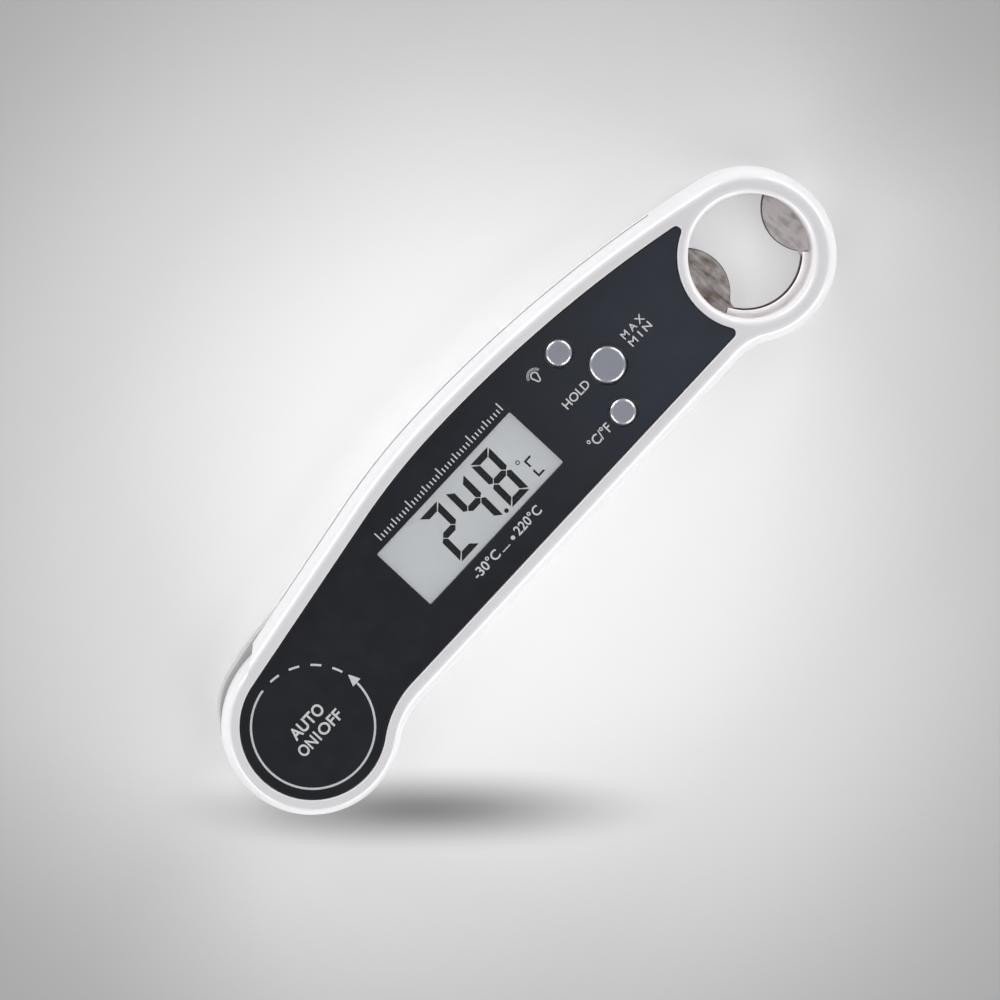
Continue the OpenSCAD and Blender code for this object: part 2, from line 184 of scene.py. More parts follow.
def top_and_hub(d, hub, a0, step, mouth=0.0):
    """The top edge's two arcs, the step, the hub and its blend, inset by d.

    mouth raises the hub's edge towards the step, where the probe's arm shows.
    """
    y = -LOW_Y - HUB_BLEND_R
    b = complex(math.sqrt((hub + HUB_BLEND_R + d) ** 2 - y * y), y)
    start = 90 + TOP_SLOPE - math.degrees(math.atan2(step, TOP_R - d))
    edge = arc(FAR_C, FAR_R - d, a0, 90, 28)
    edge += arc(NEAR_C, NEAR_R - d, 90, 90 + TOP_SLOPE, 14, 1)
    if step:
        edge.append((TOP_R - d) * TOP_N + step * TOP_T)
    for p in arc(0, hub, start, bearing(0, b) + 360, 96):
        near = max(0, 180 - math.degrees(cmath.phase(p)) % 360) / 100
        edge.append(p + 0.6 * mouth * near**6 * p / abs(p))
    return edge + arc(b, HUB_BLEND_R + d, bearing(b, 0), 90, 16, 1)


def body_outline(d):
    """The body seen from the front, inset by d. The step beside the hub fades as it rises."""
    fade = 1 - d / RIM_ROUND
    lead = arc(RING_BLEND_C, RING_BLEND_R + d, 90, bearing(RING_BLEND_C, RING), 12)
    around = arc(RING, RING_R - d, bearing(RING, RING_BLEND_C), bearing(FAR_C, RING), 96)
    hub = HUB_R - HUB_SHARE * d
    return lead + around + top_and_hub(d, hub, bearing(FAR_C, RING), max(0.05, STEP_S * fade), fade)


def panel_outline(g):
    """The panel's outline, g inside the rim's inner edge."""
    d = RIM_W + g
    rc = PANEL_CORNER_R - g
    bead = BEAD_R + g
    rise = rc + d - LOW_Y
    low = RING + complex(-math.sqrt((bead + rc) ** 2 - rise**2), rise)
    high = meet(FAR_C, FAR_R - d - rc, RING, bead + rc)
    corner = arc(low, rc, -90, bearing(low, RING), 8)
    bay = arc(RING, bead, bearing(RING, low) + 360, bearing(RING, high), 32)
    crest = arc(high, rc, bearing(high, RING), bearing(FAR_C, high), 10)
    return corner + bay + crest + top_and_hub(d, TOP_R - d, bearing(FAR_C, high), 0)


def box_outline(c, size, r=0.0, n=6):
    """Rectangle about c with corners of radius r."""
    w, h = size[0] / 2 - r, size[1] / 2 - r
    if r == 0:
        return [c + complex(x * w, y * h) for x, y in ((1, -1), (1, 1), (-1, 1), (-1, -1))]
    spots = ((w, -h, -90), (w, h, 0), (-w, h, 90), (-w, -h, 180))
    return [p for x, y, a in spots for p in arc(c + complex(x, y), r, a, a + 90, n, 1)]


def inset(points, d):
    """A closed outline moved inwards by d, corner by corner."""
    moved = []
    count = len(points)
    for i, p in enumerate(points):
        into = p - points[i - 1]
        out = points[(i + 1) % count] - p
        a = 1j * into / abs(into)
        b = 1j * out / abs(out)
        moved.append(p + d * (a + b) / max(0.2, 1 + dot(a, b)))
    return moved


# ---------------------------------------------------------------- making meshes
def inside(p, polygon):
    """Whether a plan point lies in a closed polygon."""
    odd = False
    for a, b in zip(polygon, polygon[1:] + polygon[:1]):
        if (a.imag > p.imag) != (b.imag > p.imag):
            reach = a.real + (p.imag - a.imag) * (b.real - a.real) / (b.imag - a.imag)
            odd ^= p.real < reach
    return odd


class Form:
    """A closed surface put together from loops of points."""

    def __init__(self):
        self.points = []
        self.faces = []

    def loop(self, outline, z):
        """Adds an outline's points at level z and returns their numbers."""
        start = len(self.points)
        self.points += [(p.real, p.imag, z) for p in outline]
        return list(range(start, len(self.points)))

    def stack(self, levels):
        """Joins outlines of equal count, given as (outline, z); returns the two end loops."""
        loops = [self.loop(outline, z) for outline, z in levels]
        for a, b in zip(loops, loops[1:]):
            n = len(a)
            self.faces += [(a[i], a[(i + 1) % n], b[(i + 1) % n], b[i]) for i in range(n)]
        return loops[0], loops[-1]

    def cap(self, outer, holes=()):
        """Fills a loop, leaving the holes open."""
        loops = [outer, *holes]
        ids = [i for loop in loops for i in loop]
        place = {v: k for k, v in enumerate(ids)}
        flat = [Vector(self.points[i][:2]) for i in ids]
        edges = [(place[a], place[b]) for loop in loops for a, b in zip(loop, loop[1:] + loop[:1])]
        made = delaunay_2d_cdt(flat, edges, [], 0, 1e-7)
        plans = [[complex(*self.points[i][:2]) for i in loop] for loop in loops]
        for face in made[2]:
            p = sum((complex(*made[0][k]) for k in face), 0) / len(face)
            if inside(p, plans[0]) and not any(inside(p, hole) for hole in plans[1:]):
                self.faces.append([ids[made[3][k][0]] for k in face])

    def mesh(self, name):
        """The surface as a mesh in the frame's metres, facing outwards."""
        made = bmesh.new()
        verts = [made.verts.new(PIVOT_FLOOR + Vector(p) * MM) for p in self.points]
        for face in self.faces:
            made.faces.new([verts[i] for i in face])
        bmesh.ops.remove_doubles(made, verts=made.verts, dist=1e-7)
        bmesh.ops.recalc_face_normals(made, faces=made.faces)
        mesh = bpy.data.meshes.new(name)
        made.to_mesh(mesh)
        made.free()
        return mesh


PIVOT_FLOOR = Vector((PIVOT.x, PIVOT.y, 0))


def new_object(name, data):
    """Puts a mesh, lamp or camera in the scene."""
    made = bpy.data.objects.new(name, data)
    bpy.context.scene.collection.objects.link(made)
    return made


def prism(outline, z0, z1):
    """Plain straight block, to be cut away or joined on."""
    form = Form()
    low, high = form.stack([(outline, z0), (outline, z1)])
    form.cap(low)
    form.cap(high)
    return new_object("cutter", form.mesh("cutter"))


def settle(obj):
    """Gives the object the mesh its modifiers make, and removes them."""
    made = bpy.data.meshes.new_from_object(obj.evaluated_get(bpy.context.evaluated_depsgraph_get()))
    obj.modifiers.clear()
    obj.data = made


def combine(obj, tools, how="DIFFERENCE"):
    """Boolean of the object with each tool in turn; the tools are used up."""
    for tool in tools:
        step = obj.modifiers.new("cut", "BOOLEAN")
        step.operation = how
        step.solver = "MANIFOLD"
        step.object = tool
        settle(obj)
        bpy.data.objects.remove(tool)
    return obj


def soften(obj, angle=28):
    """Smooth shading with sharp edges kept; level faces stay flat."""
    obj.data.shade_smooth()
    obj.data.set_sharp_from_angle(angle=math.radians(angle))
    for face in obj.data.polygons:
        face.use_smooth = abs(face.normal.z) < 0.99999


def finish_piece(obj, body, material, stands_for=(), angle=28):
    """Gives a piece its body, its finish and the CAD nodes that it stands for."""
    obj.data.materials.clear()
    obj.data.materials.append(material)
    soften(obj, angle)
    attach(obj, body)
    if stands_for:
        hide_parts(*stands_for)
    return obj


def round_over(outline_at, a, b, z, side, steps=10):
    """Levels of an elliptic edge: from the wall, b away from level z, to inset a on level z."""
    angles = [math.radians(90 * i / steps) for i in range(steps + 1)]
    return [(outline_at(a - a * math.cos(t)), z - side * b * (1 - math.sin(t))) for t in angles]


def lathe(name, profile, c=0, n=96):
    """Closed turned solid about plan point c from (radius, z) points; both ends are flat."""
    form = Form()
    low, high = form.stack([(circle(c, r, n), z) for r, z in profile])
    form.cap(low)
    form.cap(high)
    return new_object(name, form.mesh(name))


# ---------------------------------------------------------------- shells
def slot_cutters(z0, z1):
    """Room for the probe: around the hub, and along the top edge."""
    stow = [complex(x, y) for x, y in ((0, 14.8), (117.5, 14.8), (117.5, 55), (0, 55))]
    return [prism(circle(0, HUB_R + 1.1, 160), z0, z1), prism(stow, z0, z1)]


def cavity(z0, z1):
    """Room inside the shells for the board and the display."""
    return prism(box_outline(64.5 + 1.5j, (87, 23.5)), z0, z1)


def front_shell():
    """White front casing with its rim, the deck under the panel and the ring's lip."""
    form = Form()
    wall = [(body_outline(0.22), SEAM + 0.03), (body_outline(0), SEAM + 0.25)]
    foot, brow = form.stack(wall + round_over(body_outline, RIM_ROUND, 5.5, BODY_TOP, 1, 14))
    bore = [(circle(RING, STEEL_R), SEAM + 0.03), (circle(RING, STEEL_R), LIP_Z)]
    bore += [(circle(RING, HOLE_R + 0.1), LIP_Z), (circle(RING, HOLE_R), LIP_Z + 0.1)]
    bead = round_over(lambda d: circle(RING, HOLE_R + d), 1.7, 1.5, BODY_TOP, 1, 10)
    bore_foot, bead_top = form.stack(bore + bead)
    drop = ((-0.3, 0), (-0.26, 0.01), (-0.16, 0.07), (-0.1, 0.2), (0, BODY_TOP - DECK_Z))
    rim_top, deck = form.stack([(panel_outline(g), BODY_TOP - z) for g, z in drop])
    form.cap(brow, [rim_top, bead_top])
    form.cap(deck)
    form.cap(foot, [bore_foot])
    shell = new_object("front_cover", form.mesh("front_cover"))
    cuts = [prism(box_outline(WINDOW, (40.4, 17.4)), 10, BODY_TOP - 1)]
    for spot, r in KEYS:
        cuts.append(prism(circle(spot, r + BUTTON_GAP), 10, BODY_TOP - 1))
    cuts.append(cavity(5, 15.6))
    # The light key stands beyond the cavity's edge, so its flange gets a pocket
    cuts.append(prism(circle(LIGHT, SMALL_R + 1), 5, 15.58))
    combine(shell, slot_cutters(5, SLOT_HIGH) + cuts)
    return finish_piece(shell, "case", white_plastic(), ["front_shell"])


def pocket(form, c, r, depth):
    """Round recess in the back; returns its mouth."""
    mouth, floor = form.stack([(circle(c, r + 0.15), 0), (circle(c, r), 0.15), (circle(c, r), depth)])
    form.cap(floor)
    return mouth


def rear_shell():
    """White rear casing with recesses for the door, the pivot, the magnets and the screws."""
    form = Form()
    edge = round_over(lambda d: body_outline(0.25 + d), 1.9, 4.2, 0, -1, 12)
    wall = [(body_outline(0.25), SEAM - 0.25), (body_outline(0.42), SEAM - 0.03)]
    sole, crest = form.stack(edge[::-1] + wall)
    bore = round_over(lambda d: circle(RING, HOLE_R + 0.2 + d), 1.5, 1.4, 0, -1, 8)[::-1]
    bore += [(circle(RING, HOLE_R + 0.2), PLATE_Z), (circle(RING, 15.05), PLATE_Z)]
    bore_sole, bore_crest = form.stack(bore + [(circle(RING, 15.05), SEAM - 0.03)])
    mouths = [pocket(form, 0, 4.2, 2.8), pocket(form, CELL, 12.2, 1.4)]
    mouths += [pocket(form, spot, 5.1, 2.2) for spot in (35 + 3.5j, 95 + 3.5j)]
    mouths += [pocket(form, spot, 2.1, 1.9) for spot in (25 - 5.5j, 25 + 8.5j, 105 - 6j, 103 + 9j)]
    form.cap(sole, [bore_sole, *mouths])
    form.cap(crest, [bore_crest])
    shell = new_object("back_cover", form.mesh("back_cover"))
    cuts = [prism(circle(CELL, 10.9), 1, 5), cavity(3.6, 12)]
    combine(shell, slot_cutters(SLOT_LOW, 12) + cuts)
    return finish_piece(shell, "case", white_plastic(), ["rear_shell"])


# ---------------------------------------------------------------- panel and display
def face_panel():
    """Dark overlay with openings for the window and the buttons."""
    form = Form()
    # The flange reaches out under the gap beside the rim, so the gap shows dark panel there: a dark sheet
    # standing in as painted shade for the gap.
    flange = [(panel_outline(0.03), DECK_Z), (panel_outline(0.03), DECK_Z + 0.25)]
    rise = [(0.15, DECK_Z + 0.27), (0.15, PANEL_Z - 0.1), (0.18, PANEL_Z - 0.03), (0.25, PANEL_Z)]
    low, high = form.stack(flange + [(panel_outline(g), z) for g, z in rise])
    holes = [lambda d: box_outline(WINDOW, (WINDOW_SIZE[0] + 2 * d, WINDOW_SIZE[1] + 2 * d), 0.3 + d, 5)]
    for spot, r in KEYS:
        holes.append(lambda d, spot=spot, r=r: circle(spot, r + BUTTON_GAP + d, 72))
    ends = []
    for hole in holes:
        levels = ((0, DECK_Z), (0, PANEL_Z - 0.12), (0.03, PANEL_Z - 0.03), (0.12, PANEL_Z))
        ends.append(form.stack([(hole(d), z) for d, z in levels]))
    form.cap(low, [e[0] for e in ends])
    form.cap(high, [e[1] for e in ends])
    panel = new_object("dark_panel", form.mesh("dark_panel"))
    return finish_piece(panel, "case", black_panel(), ["face_panel"])


def slab(name, c, size, z0, z1, r=0.3, bevel=0.08):
    """Flat block with rounded corners and softened rims."""
    form = Form()
    full = box_outline(c, size, r)
    levels = [(inset(full, bevel), z0), (full, z0 + bevel), (full, z1 - bevel), (inset(full, bevel), z1)]
    low, high = form.stack(levels)
    form.cap(low)
    form.cap(high)
    return new_object(name, form.mesh(name))


def display():
    """The clear window, and the liquid-crystal cell with its front film."""
    pane = slab("clear_window", WINDOW, (37.7, 14.2), DECK_Z + 0.02, PANEL_Z - 0.15, 0.25)
    finish_piece(pane, "case", clear_window(), ["display_window"])
    form = Form()
    cell = box_outline(WINDOW, (40, 17), 0.2)
    film = box_outline(WINDOW, (39.2, 16.2), 0.2)
    z0, z1 = height("lcd_glass", 0), height("lcd_glass", 1)
    low, high = form.stack([(cell, z0), (cell, z1 - 0.25), (film, z1 - 0.25), (film, z1)])
    form.cap(low)
    form.cap(high)
    made = new_object("display_cell", form.mesh("display_cell"))
    finish_piece(made, "case", lcd_face_painted_glow(), ["lcd_glass"])


DIGIT_W = 5.1
DIGIT_H = 11.65
DIGIT_T = 1.38
SLANT = 0.035
LIT = {"2": "abged", "4": "fgbc", "8": "abcdefg"}


def segments():
    """The seven bars of a digit, each a closed outline from the digit's lower left corner."""
    w, h, t, g = DIGIT_W, DIGIT_H, DIGIT_T, 0.11
    m = h / 2
    top = [(g, h), (w - g, h), (w - t - g, h - t), (t + g, h - t)]
    left = [(0, h - g - 0.25), (t, h - t - g), (t, m + t / 2 + g), (t / 2, m + g), (0, m + t / 2 - g)]
    middle = [(t / 2 + g, m), (t + g, m + t / 2), (w - t - g, m + t / 2)]
    middle += [(w - x, h - y) for x, y in middle]
    flip_x = lambda bar: [(w - x, y) for x, y in bar]
    flip_y = lambda bar: [(x, h - y) for x, y in bar]
    right = flip_x(left)
    bars = {"a": top, "b": right, "c": flip_y(right), "d": flip_y(top), "e": flip_y(left), "f": left}
    return {**bars, "g": middle}


def ccw(points):
    """The same outline, running anticlockwise."""
    area = sum(a.real * b.imag - b.real * a.imag for a, b in zip(points, points[1:] + points[:1]))
    return points if area > 0 else points[::-1]


def add_patch(form, outline, z0, z1, holes=()):
    """Adds one thin closed patch to a form."""
    ends = [form.stack([(ccw(o), z0), (ccw(o), z1)]) for o in (outline, *holes)]
    form.cap(ends[0][0], [e[0] for e in ends[1:]])
    form.cap(ends[0][1], [e[1] for e in ends[1:]])


def reading():
    """The display's dark segments: three digits, a point and a degree unit."""
    form = Form()
    z0 = height("lcd_glass", 1)
    z1 = z0 + 0.03
    origin = complex(43.2, 0.65)
    for place, digit in enumerate("248"):
        corner = origin + (0, 7.15, 14.45)[place]
        for bar in LIT[digit]:
            outline = [corner + complex(x + SLANT * y, y) for x, y in segments()[bar]]
            add_patch(form, outline, z0, z1)
    point = 56.5 + 1.05j
    degree = 64.8 + 5.85j
    add_patch(form, circle(point, 0.46, 32), z0, z1)
    add_patch(form, circle(degree, 0.46, 40), z0, z1, [circle(degree, 0.28, 40)])
    for y, way in ((0.9, 1), (5.15, -1)):
        tall = [(0, 0), (1.8, 0), (1.6, 0.42 * way), (0.42, 0.42 * way), (0.42, 1.85 * way), (0, 1.6 * way)]
        add_patch(form, [complex(65.6 + x + 0.03 * y, y + v) for x, v in tall], z0, z1)
    made = new_object("display_reading", form.mesh("display_reading"))
    finish_piece(made, "case", lcd_ink())


# ---------------------------------------------------------------- printing on the panel
INK_T = 0.02


def label(name, text, lower_left, size, bold=0.012):
    """Generic lettering in the built-in face, fitted to a width and height."""
    curve = bpy.data.curves.new(name, "FONT")
    curve.body = text
    curve.extrude = 0.5
    curve.offset = bold
    curve.resolution_u = 4
    words = new_object(name, curve)
    mesh = bpy.data.meshes.new_from_object(words.evaluated_get(bpy.context.evaluated_depsgraph_get()))
    bpy.data.objects.remove(words)
    lo = Vector([min(v.co[k] for v in mesh.vertices) for k in range(3)])
    hi = Vector([max(v.co[k] for v in mesh.vertices) for k in range(3)])
    corner = Vector((lower_left.real, lower_left.imag, PANEL_Z))
    for v in mesh.vertices:
        part = [(v.co[k] - lo[k]) / (hi[k] - lo[k]) for k in range(3)]
        flat = Vector((part[0] * size[0], part[1] * size[1], part[2] * INK_T))
        v.co = PIVOT_FLOOR + (corner + flat) * MM
    made = bmesh.new()
    made.from_mesh(mesh)
    bmesh.ops.remove_doubles(made, verts=made.verts, dist=1e-8)
    bmesh.ops.recalc_face_normals(made, faces=made.faces)
    made.to_mesh(mesh)
    made.free()
    return finish_piece(new_object(name, mesh), "case", print_ink())


def band(c, r, width, a0, a1, n):
    """Outline of a curved stroke."""
    return arc(c, r + width / 2, a0, a1, n, 1) + arc(c, r - width / 2, a1, a0, n, 1)


def ink(name, patches):
    """Printed shapes as one thin piece; each patch is an outline and its holes."""
    form = Form()
    for outline, holes in patches:
        add_patch(form, outline, PANEL_Z, PANEL_Z + INK_T, holes)
    return finish_piece(new_object(name, form.mesh(name)), "case", print_ink())


def opening_arrow():
    """The circle on the hub that shows the way the probe turns."""
    patches = [(band(0, 12.12, 0.42, 97, 358, 110), [])]
    patches += [(band(0, 12.12, 0.42, a - 5, a + 5, 8), []) for a in (20, 40.5, 61, 81.5)]
    tip = [12.12 + complex(x, y) for x, y in ((-1.05, -0.35), (1.05, -0.35), (0.1, 1.85), (-0.1, 1.85))]
    return ink("print_opening_arrow", patches + [(tip, [])])


def tick_scale():
    """A fine scale above the display, every fifth mark longer."""
    patches = []
    for i in range(41):
        x = 35.6 + 0.865 * i
        tall = 1.95 if i % 10 == 0 else (1.5 if i % 5 == 0 else 1.0)
        patches.append((box_outline(complex(x + 0.13, 15.05 + tall / 2), (0.26, tall)), []))
    return ink("print_scale", patches)


def lamp_sign():
    """A bulb with light over it."""
    c = 79.4 + 15.1j
    outer = arc(c, 0.85, -35, 215, 28, 1) + arc(c - 1.05j, 0.5, 200, 340, 12, 1)
    inner = inset(outer, 0.27)
    glow = [(band(c - 0.15j, r, 0.08, 12, 168, 24), []) for r in (1.25, 1.45, 1.65)]
    return ink("print_lamp", [(outer, [inner])] + glow)


def printing():
    """Everything printed on the dark panel."""
    opening_arrow()
    tick_scale()
    lamp_sign()
    label("print_auto", "AUTO", -4.25 + 0.35j, (8.3, 2.5), 0.025)
    label("print_on", "ON", -5.6 - 3.0j, (4.15, 2.4), 0.02)
    label("print_off", "OFF", 0.0 - 3.0j, (5.65, 2.4), 0.02)
    ink("print_divider", [(box_outline(-0.72 - 1.8j, (0.4, 2.4)), [])])
    label("print_hold", "HOLD", 79 + 5.76j, (6.6, 1.8))
    label("print_max", "M A X", 96.6 + 6.9j, (5.65, 1.52))
    label("print_min", "M I N", 96.6 + 4.85j, (5.65, 1.48))
    label("print_units", "\u00b0C/\u00b0F", 76.8 - 3.25j, (5.5, 2.15))
    label("print_low_end", "-30\u00b0C", 42.9 - 4.15j, (6.6, 2.1), 0.015)
    label("print_high_end", "220\u00b0C", 54.6 - 4.15j, (6.65, 2.1), 0.015)
    ink("print_range", [(box_outline(51.15 - 3.9j, (2.0, 0.22)), []), (circle(53.5 - 3.4j, 0.44, 24), [])])


# ---------------------------------------------------------------- buttons
def button(name, source, body, c, r):
    """Soft-rimmed cap with its flange below the deck."""
    z0 = height(source, 0)
    top = height(source, 1)
    profile = [(r + 0.6, z0), (r + 0.6, z0 + 0.55), (r, z0 + 0.55)]
    rim = ((0, 0.5), (0.03, 0.4), (0.09, 0.31), (0.4, 0.055), (0.5, 0.012), (0.6, 0))
    profile += [(r - into, top - down) for into, down in rim] + [(r * 0.6, top - 0.02)]
    cap = lathe(name, profile, c, 80)
    return finish_piece(cap, body, button_grey(), [source], 35)


# ---------------------------------------------------------------- opener ring
def lower_meet(c, r, around):
    """Lower meeting point of a circle about c and one about the ring's centre."""
    return min(meet(RING, around, c, r), meet(c, r, RING, around), key=lambda p: p.imag)


def lobe_foot(c, r, bend):
    """Outline of the fillet between a lobe's lower end and the ring's mouth."""
    heart = lower_meet(c, r + bend, MOUTH_R - bend)
    root = lower_meet(c, r - 0.3, MOUTH_R + 0.4)
    start = bearing(heart, c)
    sweep = (bearing(RING, heart) - start + 180) % 360 - 180
    return ccw([root] + arc(heart, bend, start, start + sweep, 10, 1))


def opener_ring():
    """Stamped steel: the ledge and the drawn wall under the shell's lip, open at the top."""
    low_z = PLATE_Z + 0.01
    outer = [(14.9, low_z), (14.9, LEDGE_Z), (13.6, LEDGE_Z), (12.95, LEDGE_Z + 0.6), (12.95, LIP_Z - 0.06)]
    outer += [(12.35, LIP_Z - 0.06), (12.3, LIP_Z - 0.12), (12.3, LEDGE_Z + 2.2), (12.2, LEDGE_Z + 1.2)]
    outer += [(11.95, LEDGE_Z + 0.5), (11.6, LEDGE_Z + 0.14), (11.2, LEDGE_Z)]
    plate = lathe("opener_ring", outer, RING, 128)
    upper = [RING + complex(x, y) for x, y in ((-16, 3), (16, -2), (16, 16), (-16, 16))]
    gap = combine(prism(circle(RING, HOLE_R - 0.02, 128), 0, 20), [prism(upper, -1, 21)], "INTERSECT")
    edge = [(MOUTH_R, 0), (MOUTH_R, LEDGE_Z - 0.35), (MOUTH_R + 0.3, LEDGE_Z + 0.01), (MOUTH_R + 0.3, 20)]
    combine(plate, [gap, lathe("cutter", edge, RING, 128)])
    for spot, r, _ in (LEFT_LOBE, RIGHT_LOBE):
        over = prism(circle(RING + spot, r, 128), -1, 21)
        combine(plate, [combine(over, [prism(circle(RING, HOLE_R - 0.01, 128), 0, 20)], "INTERSECT")])
    return plate


def opener_lobe(c, r, bend):
    """One rounded tongue of the opener, with its edge broken."""
    low_z = PLATE_Z + 0.03
    lobe = lathe("opener_lobes", [(r, low_z), (r, LEDGE_Z - 0.2), (r - 0.15, LEDGE_Z + 0.02)], c, 128)
    combine(lobe, [prism(circle(RING, HOLE_R + 0.2, 128), 0, 20)], "INTERSECT")
    foot = prism(lobe_foot(c, r, bend), low_z + 0.01, LEDGE_Z + 0.02)
    return combine(lobe, [foot], "UNION")


def opener():
    """The steel in the ring: one stamped plate, with a finish for the ring and one for the lobes."""
    plate = opener_ring()
    left, right = [opener_lobe(RING + spot, r, bend) for spot, r, bend in (LEFT_LOBE, RIGHT_LOBE)]
    lobes = combine(right, [left], "UNION")
    finish_piece(plate, "case", ledge_steel(), ["opener_plate"], 32)
    finish_piece(lobes, "case", opener_steel(), (), 32)
    # The mouth's cut edges get a near-black finish: partly the stamped edge's own dark, partly painted shade
    # for the shadow along the ledge's edge.
    for piece in (plate, lobes):
        piece.data.materials.append(cut_edge_painted_shade())
        for face in piece.data.polygons:
            spot = (face.center - PIVOT_FLOOR) / MM
            across = abs(complex(spot.x, spot.y) - RING)
            if abs(face.normal.z) < 0.9 and across < HOLE_R - 0.1 and spot.z < LEDGE_Z + 0.015:
                face.material_index = 1


# ---------------------------------------------------------------- probe
def arm():
    """The moulded arm: a disc in the hub and a root that holds the tube."""
    z0, z1 = height("probe_arm", 0), height("probe_arm", 1)
    disc = HUB_R - 0.4
    first = complex(math.sqrt(disc**2 - 225), 15)
    root = [*arc(24.8 + 16.2j, 1.2, -90, 0, 6, 1), *arc(24.6 + 18.5j, 1.4, 0, 60, 6, 1)]
    outline = [first, *root]
    for along, out in ((16, -0.2), (13, 0.05), (10, 0.4), (7, 0.62), (4, 0.7), (1, 0.62)):
        outline.append((TOP_R + out) * TOP_N + along * TOP_T)
    for k in range(1, 20):
        swell = (TOP_R + 0.6 - disc) * math.cos(math.pi * k / 40) ** 2
        outline.append((disc + swell) * TOP_N * turn(3 * k))
    outline += arc(0, disc, 90 + TOP_SLOPE + 60, bearing(0, first) + 360, 100)
    form = Form()
    levels = round_over(lambda d: inset(outline, d), 0.5, 0.5, z0, -1, 5)[::-1]
    levels += round_over(lambda d: inset(outline, d), 0.5, 0.5, z1, 1, 5)
    low, high = form.stack(levels)
    form.cap(low)
    form.cap(high)
    made = new_object("probe_handle", form.mesh("probe_handle"))
    combine(made, [prism(circle(0, half_width("pivot_bush"), 64), z0 - 1, z1 + 1)])
    return finish_piece(made, "probe", arm_plastic_painted_shade(), ["probe_arm"])


def rod():
    """Drawn steel tube with its reduced, pointed tip."""
    end = (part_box("probe_rod")[1].x - PIVOT.x) / MM
    cone = end - 17
    profile = [(1.7, 12), (2, 12.3), (2, cone - 0.6)]
    profile += [(2 - 0.85 * (1 - math.cos(math.pi * k / 8)) / 2, cone - 0.6 + 0.6 * k) for k in range(1, 8)]
    profile += [(1.15, cone + 4.2), (1.15, end - 3), (1.0, end - 2.4), (0.55, end - 1.2), (0.12, end - 0.08)]
    form = Form()
    low, high = form.stack([(circle(0, r, 64), z) for r, z in profile])
    form.cap(low)
    form.cap(high)
    z = (height("probe_rod", 0) + height("probe_rod", 1)) / 2
    form.points = [(p[2], ROD_Y + p[0], z + p[1]) for p in form.points]
    made = new_object("probe_tube", form.mesh("probe_tube"))
    return finish_piece(made, "probe", probe_steel(), ["probe_rod"], 35)


# ---------------------------------------------------------------- battery door
def door():
    """Round bayonet cover with a coin slot and a shallow groove near its rim."""
    c = CELL
    z0, z1 = height("battery_door", 0), height("battery_door", 1)
    rim = [(11.5, 0), (11.75, 0.04), (11.95, 0.2), (12, 0.4), (12, 1.2), (9.75, 1.2)]
    profile = [(9.75, z1 - z0 - 0.5), (9.95, z1 - z0), (8.5, z1 - z0), (8.5, 1.5)]
    made = lathe("battery_cover", [(r, z0 + z) for r, z in rim + profile], c)
    slot = arc(c + 7.1, 0.9, -90, 90, 10, 1) + arc(c - 7.1, 0.9, 90, 270, 10, 1)
    groove = prism(circle(c, 10.9), z0 - 1, z0 + 0.18)
    combine(groove, [prism(circle(c, 10.5), z0 - 2, z0 + 1)])
    combine(made, [prism(slot, z0 - 1, z0 + 0.8), groove])
    return finish_piece(made, "door", white_plastic(), ["battery_door"])


# ---------------------------------------------------------------- finishes
MADE = {}


def node(tree, kind, place, **inputs):
    """Adds a shader node and sets its named inputs."""
    made = tree.nodes.new(kind)
    made.location = (place[0] * 220, place[1] * -260)
    for name, value in inputs.items():
        made.inputs[name.replace("_", " ")].default_value = value
    return made


def finish(
    name, colour, rough, metal=0.0, second=None, mottle=250, grain=2500, bump=0.05, spread=0.08, **extras
):
    """Procedural finish: mottled colour, uneven roughness and a fine grain in the surface."""
    if name in MADE:
        return MADE[name]
    mat = bpy.data.materials.new(name)
    mat.use_nodes = True
    tree = mat.node_tree
    shader = tree.nodes["Principled BSDF"]
    shader.inputs["Metallic"].default_value = metal
    for key, value in extras.items():
        shader.inputs[key.replace("_", " ")].default_value = value
    place = node(tree, "ShaderNodeTexCoord", (-5, 0))
    cloud = node(tree, "ShaderNodeTexNoise", (-4, 0), Scale=mottle, Detail=4.0, Roughness=0.55)
    mix = node(tree, "ShaderNodeMix", (-2, 0))
    mix.data_type = "RGBA"
    mix.inputs[6].default_value = (*colour, 1)
    mix.inputs[7].default_value = (*(second or [c * 0.86 for c in colour]), 1)
    level = node(tree, "ShaderNodeMapRange", (-3, 0), From_Min=0.35, From_Max=0.7)
    uneven = node(tree, "ShaderNodeTexNoise", (-4, 1), Scale=mottle * 2.7, Detail=3.0)
    dull = node(tree, "ShaderNodeMapRange", (-2, 1), From_Min=0.3, From_Max=0.7)
    dull.inputs["To Min"].default_value = max(0.02, rough - spread)
    dull.inputs["To Max"].default_value = min(1.0, rough + spread)
    fine = node(tree, "ShaderNodeTexNoise", (-4, 2), Scale=grain, Detail=2.0)
    relief = node(tree, "ShaderNodeBump", (-2, 2), Strength=bump, Distance=0.0001)
    links = tree.links
    for tex in (cloud, uneven, fine):
        links.new(place.outputs["Object"], tex.inputs["Vector"])
    links.new(cloud.outputs["Fac"], level.inputs["Value"])
    links.new(level.outputs["Result"], mix.inputs[0])
    links.new(mix.outputs[2], shader.inputs["Base Color"])
    links.new(uneven.outputs["Fac"], dull.inputs["Value"])
    links.new(dull.outputs["Result"], shader.inputs["Roughness"])
    links.new(fine.outputs["Fac"], relief.inputs["Height"])
    links.new(relief.outputs["Normal"], shader.inputs["Normal"])
    MADE[name] = mat
    return mat


def white_plastic():
    return finish(
        "white_plastic", (0.6, 0.592, 0.607), 0.36, second=(0.575, 0.567, 0.582), mottle=60, grain=3500,
        bump=0.04, spread=0.05, Coat_Weight=0.4, Coat_Roughness=0.28,
    )


